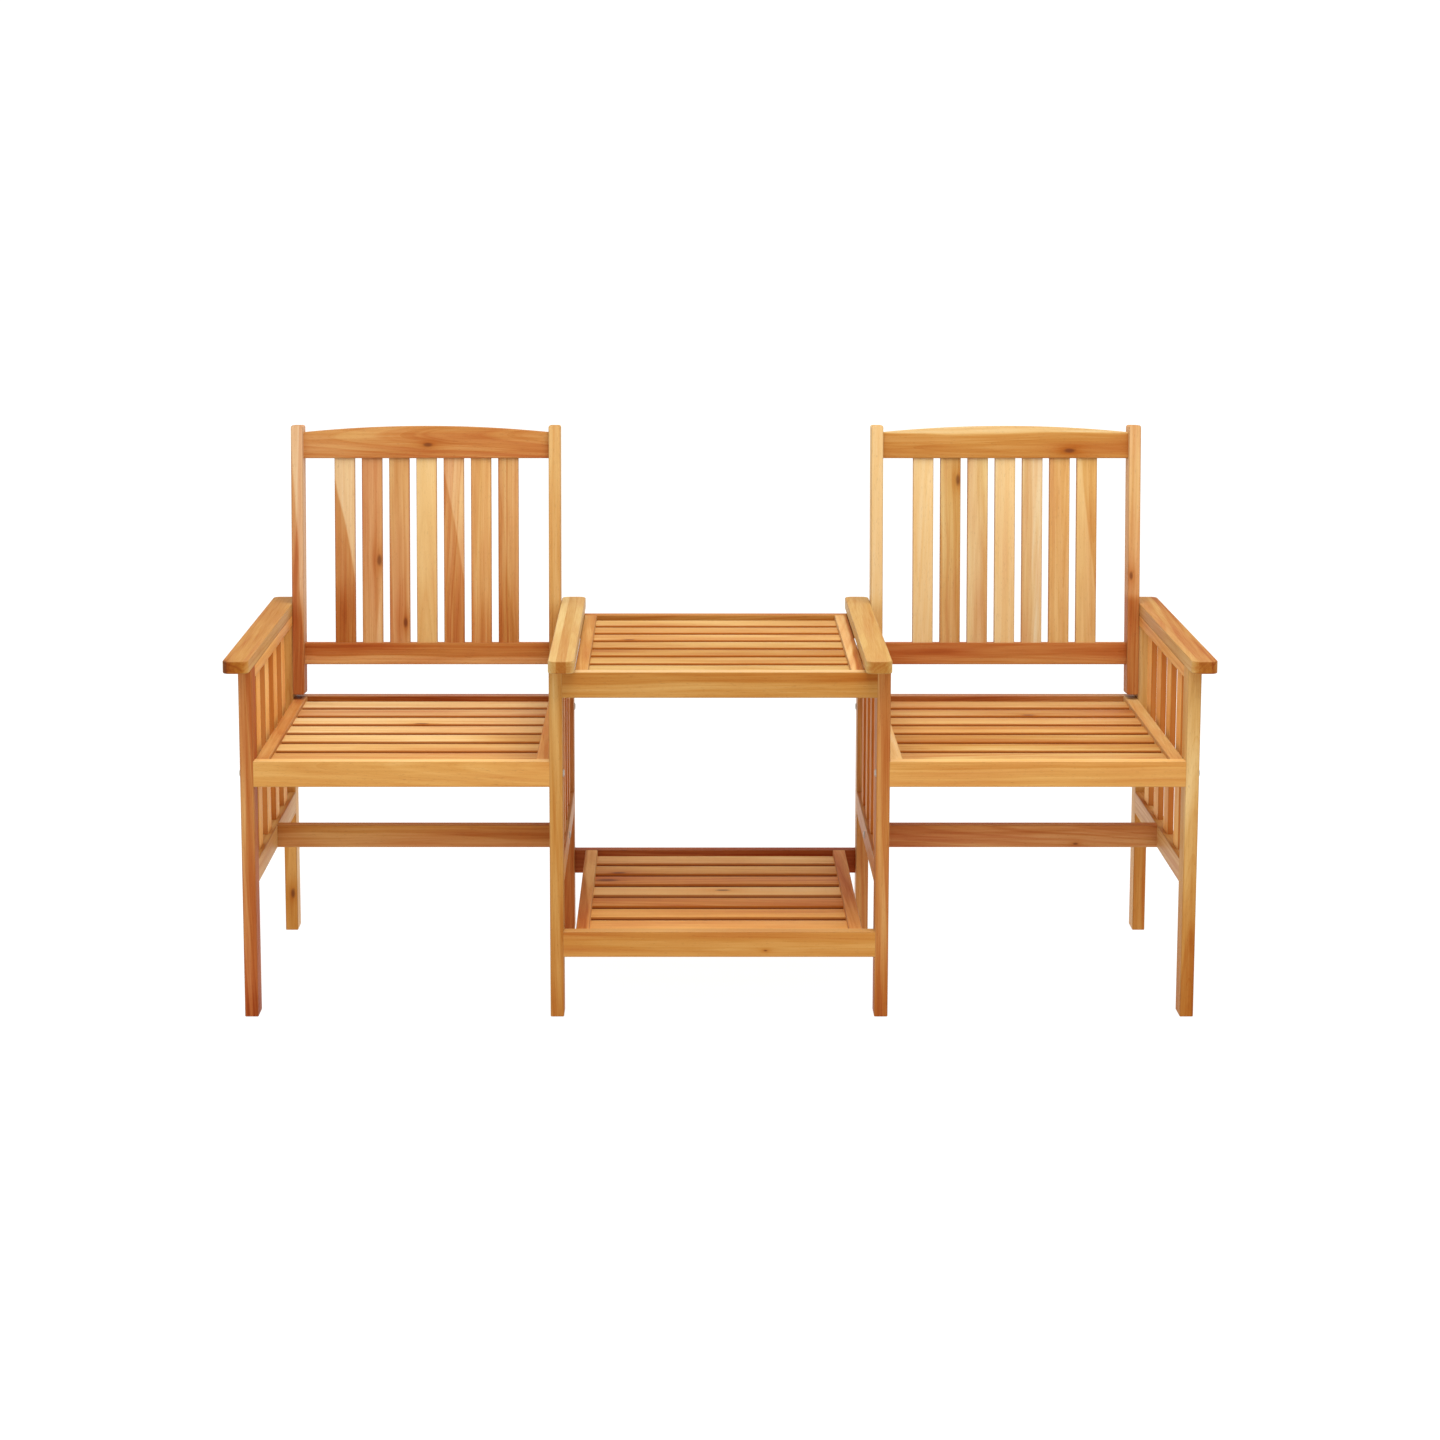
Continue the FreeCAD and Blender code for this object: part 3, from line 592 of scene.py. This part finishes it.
for side, looks in back_looks.items():
    name = side + "_back_"
    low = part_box(name + "left_post")[0]
    foot_y, foot_z = low[1], low[2] + post_deep * math.sin(lean_angle)
    turn_back = np.array([[1, 0, 0], [0, math.cos(lean_angle), -math.sin(lean_angle)],
                          [0, math.sin(lean_angle), math.cos(lean_angle)]])
    pivot = np.array([0, foot_y, foot_z])

    def lean(points, placed):
        """Turned about the line of the posts' feet; a direction, which has no place, is only turned."""
        return (points - pivot) @ turn_back + pivot if placed else points @ turn_back

    middle_y = foot_y + post_deep / 2
    rail_y = (middle_y - back_rail_thick / 2, middle_y + back_rail_thick / 2)
    slat_y = (middle_y - back_slat_thick / 2, middle_y + back_slat_thick / 2)
    crown_z = foot_z + post_high - crown_drop
    top_low = crown_z - top_rail_crown
    low_z = (foot_z + low_rail_up, foot_z + low_rail_up + low_rail_high)
    for part in ("left_post", "right_post"):
        x_span = limits(name + part)[0]
        post_spans = [x_span, (foot_y, foot_y + post_deep), (foot_z, foot_z + post_high)]
        surface = board(post_spans, (0, 2, 1), 2, looks[part], post_corner, lean=lean, across=0)
        join_boards(name + part + "_wood", [surface], acacia, name + part)
    rail_x = limits(name + "lower_rail", (tenon - ease, 0, 0))[0]
    surface = board([rail_x, rail_y, low_z], (0, 2, 1), 0, looks["lower_rail"], lean=lean)
    join_boards(name + "lower_rail_wood", [surface], acacia, name + "lower_rail")
    top_spans = [rail_x, rail_y, (top_low, crown_z)]
    arch = arched_outline(rail_x, top_low, top_rail_end, top_rail_crown, ease)
    surface = board(top_spans, (0, 2, 1), 0, looks["top_rail"], outline=arch, lean=lean)
    join_boards(name + "top_rail_wood", [surface], acacia, name + "top_rail")
    slats_x = limits(name + "slats")[0]
    slat_z = (low_z[1] - ease, top_low + ease)
    boards = [board([slat_x, slat_y, slat_z], (0, 2, 1), 2, look, lean=lean, gap_shade=back_slat_side_shade)
              for slat_x, look in zip(spaced(slats_x, back_slat_wide, len(looks["slats"])), looks["slats"])]
    join_boards(name + "slats_wood", boards, acacia, name + "slats")


# Bolts and screws
# Zinc-plated steel: low domed heads with a hexagon socket at the seats, stretchers and backrests. Barrel nuts
# lie in the rails and stretchers, and cross-head screws, sunk into the legs, hold the table and the shelf.

def zinc_plate():
    """Bright zinc, dulled in soft clouds some 3 mm wide and rubbed by tiny scratches."""
    finish = Finish("zinc_plate")
    spot = finish.node("ShaderNodeTexCoord", {}, {}, "Object")
    x, y, z = (finish.node("ShaderNodeSeparateXYZ", {}, {0: spot}, axis) for axis in range(3))
    cloud = finish.noise(x * 350, y * 350, z * 350)
    scratch = finish.noise(x * 900, y * 4000, z * 900)
    colour = finish.mix(cloud, stain(168, 164, 154), stain(206, 204, 198))
    finish.fill(finish.shader, {"Base Color": colour, "Metallic": 1.0,
                                "Roughness": 0.28 + cloud * 0.2 + scratch * 0.08})
    return finish.material


zinc = zinc_plate()
for node in ("frame_bolts", "backrest_screws", "barrel_nuts"):
    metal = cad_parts[node]
    for place in range(len(metal.material_slots)):
        metal.material_slots[place].material = zinc

screw_head = 0.0050         # radius of a countersunk head
screw_shank = 0.0025
shank_end, screw_end = 0.0500, 0.0550
screw_tip = 0.0003
head_flat, head_round = 0.0033, 0.0044
head_rise, rim_rise, rim_sink = 0.0003, 0.0001, 0.0001
cross_reach, cross_half = 0.0026, 0.0005
cross_deep, cross_taper = 0.0022, 0.6

# A screw is a row of rings at their depths in the wood, from the cross recess's floor out over the head's
# rim and down the cone and the shank. Every ring has the cross's number of points
cross_quarter = [(cross_reach, 0), (cross_reach, cross_half), (cross_reach / 2, cross_half),
                 (cross_half, cross_half), (cross_half, cross_reach / 2), (cross_half, cross_reach)]
cross = np.concatenate([np.array(cross_quarter) @ np.linalg.matrix_power([[0, 1], [-1, 0]], turns)
                        for turns in range(4)])
circle = cross / np.hypot(*cross.T)[:, None]
ring_depths = [cross_deep, -head_rise, -head_rise, -rim_rise, rim_sink, screw_head - screw_shank,
               shank_end, screw_end]
rings = np.stack([cross * cross_taper, cross, circle * head_flat, circle * head_round, circle * screw_head,
                  circle * screw_shank, circle * screw_shank, circle * screw_tip])
depths = np.repeat(ring_depths, len(cross))[:, None]
screw_points = np.hstack([depths, rings.reshape(-1, 2)])
low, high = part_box("table_and_shelf_screws")
points, faces = [], []
for head_x, into in ((low[0], 1), (high[0], -1)):
    for y in (low[1] + screw_head, high[1] - screw_head):
        for z in (low[2] + screw_head, high[2] - screw_head):
            start = len(points) * len(screw_points)
            points.append(screw_points * (into, 1, 1) + (head_x, y, z))
            faces += [[start + corner for corner in face]
                      for face in grid_faces(len(rings), len(cross), into < 0)]
screw_mesh = bpy.data.meshes.new("table_screws_steel")
screw_mesh.from_pydata(np.concatenate(points).tolist(), [], faces)
screw_mesh.polygons.foreach_set("use_smooth", np.ones(len(faces), bool))
screw_mesh.set_sharp_from_angle(angle=math.radians(40))
screw_mesh.materials.append(zinc)
screws = bpy.data.objects.new("table_screws_steel", screw_mesh)
bpy.context.collection.objects.link(screws)
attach(screws, "root")
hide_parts("table_and_shelf_screws")


# Studio
# The bench stands on a plain white floor in soft, even light, with one large softbox above its front.

floor_half = 30.0
floor_mesh = bpy.data.meshes.new("studio_floor")
floor_mesh.from_pydata([(-floor_half, -floor_half, 0), (floor_half, -floor_half, 0),
                        (floor_half, floor_half, 0), (-floor_half, floor_half, 0)], [], [(0, 1, 2, 3)])
floor = bpy.data.objects.new("studio_floor", floor_mesh)
bpy.context.collection.objects.link(floor)
white_floor = Finish("white_floor")
white_floor.fill(white_floor.shader, {"Base Color": (0.12, 0.12, 0.12, 1.0), "Roughness": 0.9,
                                      "Emission Color": (1.0, 1.0, 1.0, 1.0), "Emission Strength": 0.95})
floor_mesh.materials.append(white_floor.material)

world = bpy.data.worlds.new("white_studio")
bpy.context.scene.world = world
studio = NodeTree(world)
base_light, wall_light, ceiling_light = 0.65, 0.45, 1.3
# A direction's height runs from -1, straight down, through 0, level, to 1, straight up
heading = studio.node("ShaderNodeTexCoord", {}, {}, "Generated")
height = studio.node("ShaderNodeSeparateXYZ", {}, {0: heading}, 2)
walls, ceiling = height.step(0.28, 0.18), height.step(0.75, 1.0)
studio.fill(world.node_tree.nodes["Background"],
            {"Color": (1.0, 1.0, 1.0, 1.0),
             "Strength": base_light + walls * wall_light + ceiling * ceiling_light})


def softbox(name, place, aim, size, power):
    """A square lamp of that size at a place, turned to face a point."""
    lamp = bpy.data.lights.new(name, "AREA")
    lamp.size, lamp.energy = size, power
    holder = bpy.data.objects.new(name, lamp)
    heading = np.array(aim) - np.array(place)
    across = math.hypot(heading[0], heading[1])
    holder.location = place
    turn = math.atan2(heading[1], heading[0]) - math.pi / 2
    holder.rotation_euler = (math.atan2(across, -heading[2]), 0, turn)
    bpy.context.collection.objects.link(holder)


softbox("top_softbox", place=(0.3, -1.0, 3.2), aim=(0, 0, 0.5), size=2.4, power=80)

# The photograph's camera, fitted to the bench's edges, looks down a little and has its picture shifted
look_down = 8.467
camera_data = bpy.data.cameras.new("photo_camera")
camera_data.sensor_width, camera_data.lens = 36.0, 75.533
camera_data.shift_x, camera_data.shift_y = 0.0294, -0.12
camera = bpy.data.objects.new("photo_camera", camera_data)
camera.location = (-0.0674, -5.0288, 1.4792)
camera.rotation_euler = (math.radians(90 - look_down), 0, 0)
bpy.context.collection.objects.link(camera)
bpy.context.scene.camera = camera
bpy.context.scene.view_settings.view_transform = "Standard"
